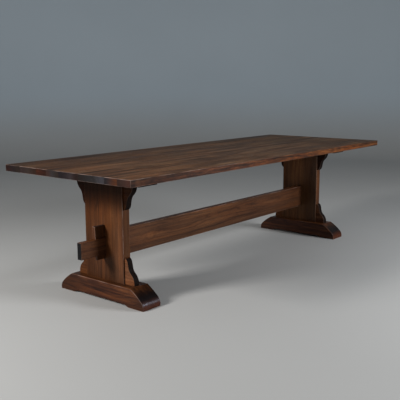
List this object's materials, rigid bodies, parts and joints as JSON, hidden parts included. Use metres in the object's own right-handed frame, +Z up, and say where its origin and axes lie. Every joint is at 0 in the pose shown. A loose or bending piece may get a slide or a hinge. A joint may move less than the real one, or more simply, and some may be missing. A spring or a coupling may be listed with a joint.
{
  "type": "trestle dining table",
  "caption": "Rectangular plank-top dining table on two shaped trestles, joined by a stretcher whose through tenons are locked by loose wedge keys.",
  "frame": {"origin": "on the floor under the middle of the top", "axes": "+X along the top's length, +Y across it towards the back edge, +Z up; the left trestle stands at -X"},
  "size_m": [2.743, 1.016, 0.762],
  "materials": {
    "top_boards": "satin",
    "trestle_wood": "satin",
    "bracket_wood": "satin",
    "stretcher_wood": "satin",
    "key_wood": "satin",
    "hidden_wood": "bare",
    "steel": "zinc plated"
  },
  "bodies": {
    "table": {"board_1": "top_boards", "board_2": "top_boards", "board_3": "top_boards", "board_4": "top_boards", "board_5": "top_boards", "board_6": "top_boards", "board_7": "top_boards", "board_8": "top_boards", "board_splines": "hidden_wood", "left_foot": "trestle_wood", "left_post": "trestle_wood", "left_bearer": "trestle_wood", "left_lower_bracket_back": "bracket_wood", "left_lower_bracket_front": "bracket_wood", "left_upper_bracket_back": "bracket_wood", "left_upper_bracket_front": "bracket_wood", "left_bracket_dowels": "hidden_wood", "left_bearer_screws": "steel", "left_bearer_washers": "steel", "right_foot": "trestle_wood", "right_post": "trestle_wood", "right_bearer": "trestle_wood", "right_lower_bracket_back": "bracket_wood", "right_lower_bracket_front": "bracket_wood", "right_upper_bracket_back": "bracket_wood", "right_upper_bracket_front": "bracket_wood", "right_bracket_dowels": "hidden_wood", "right_bearer_screws": "steel", "right_bearer_washers": "steel", "stretcher": "stretcher_wood"},
    "left_key": {"left_key": "key_wood"},
    "right_key": {"right_key": "key_wood"}
  },
  "joints": [
    {"name": "left_key_lift", "type": "slide", "parent": "table", "child": "left_key", "axis": [0, 0, 1], "range_m": [0, 0.12]},
    {"name": "right_key_lift", "type": "slide", "parent": "table", "child": "right_key", "axis": [0, 0, 1], "range_m": [0, 0.12]}
  ]
}
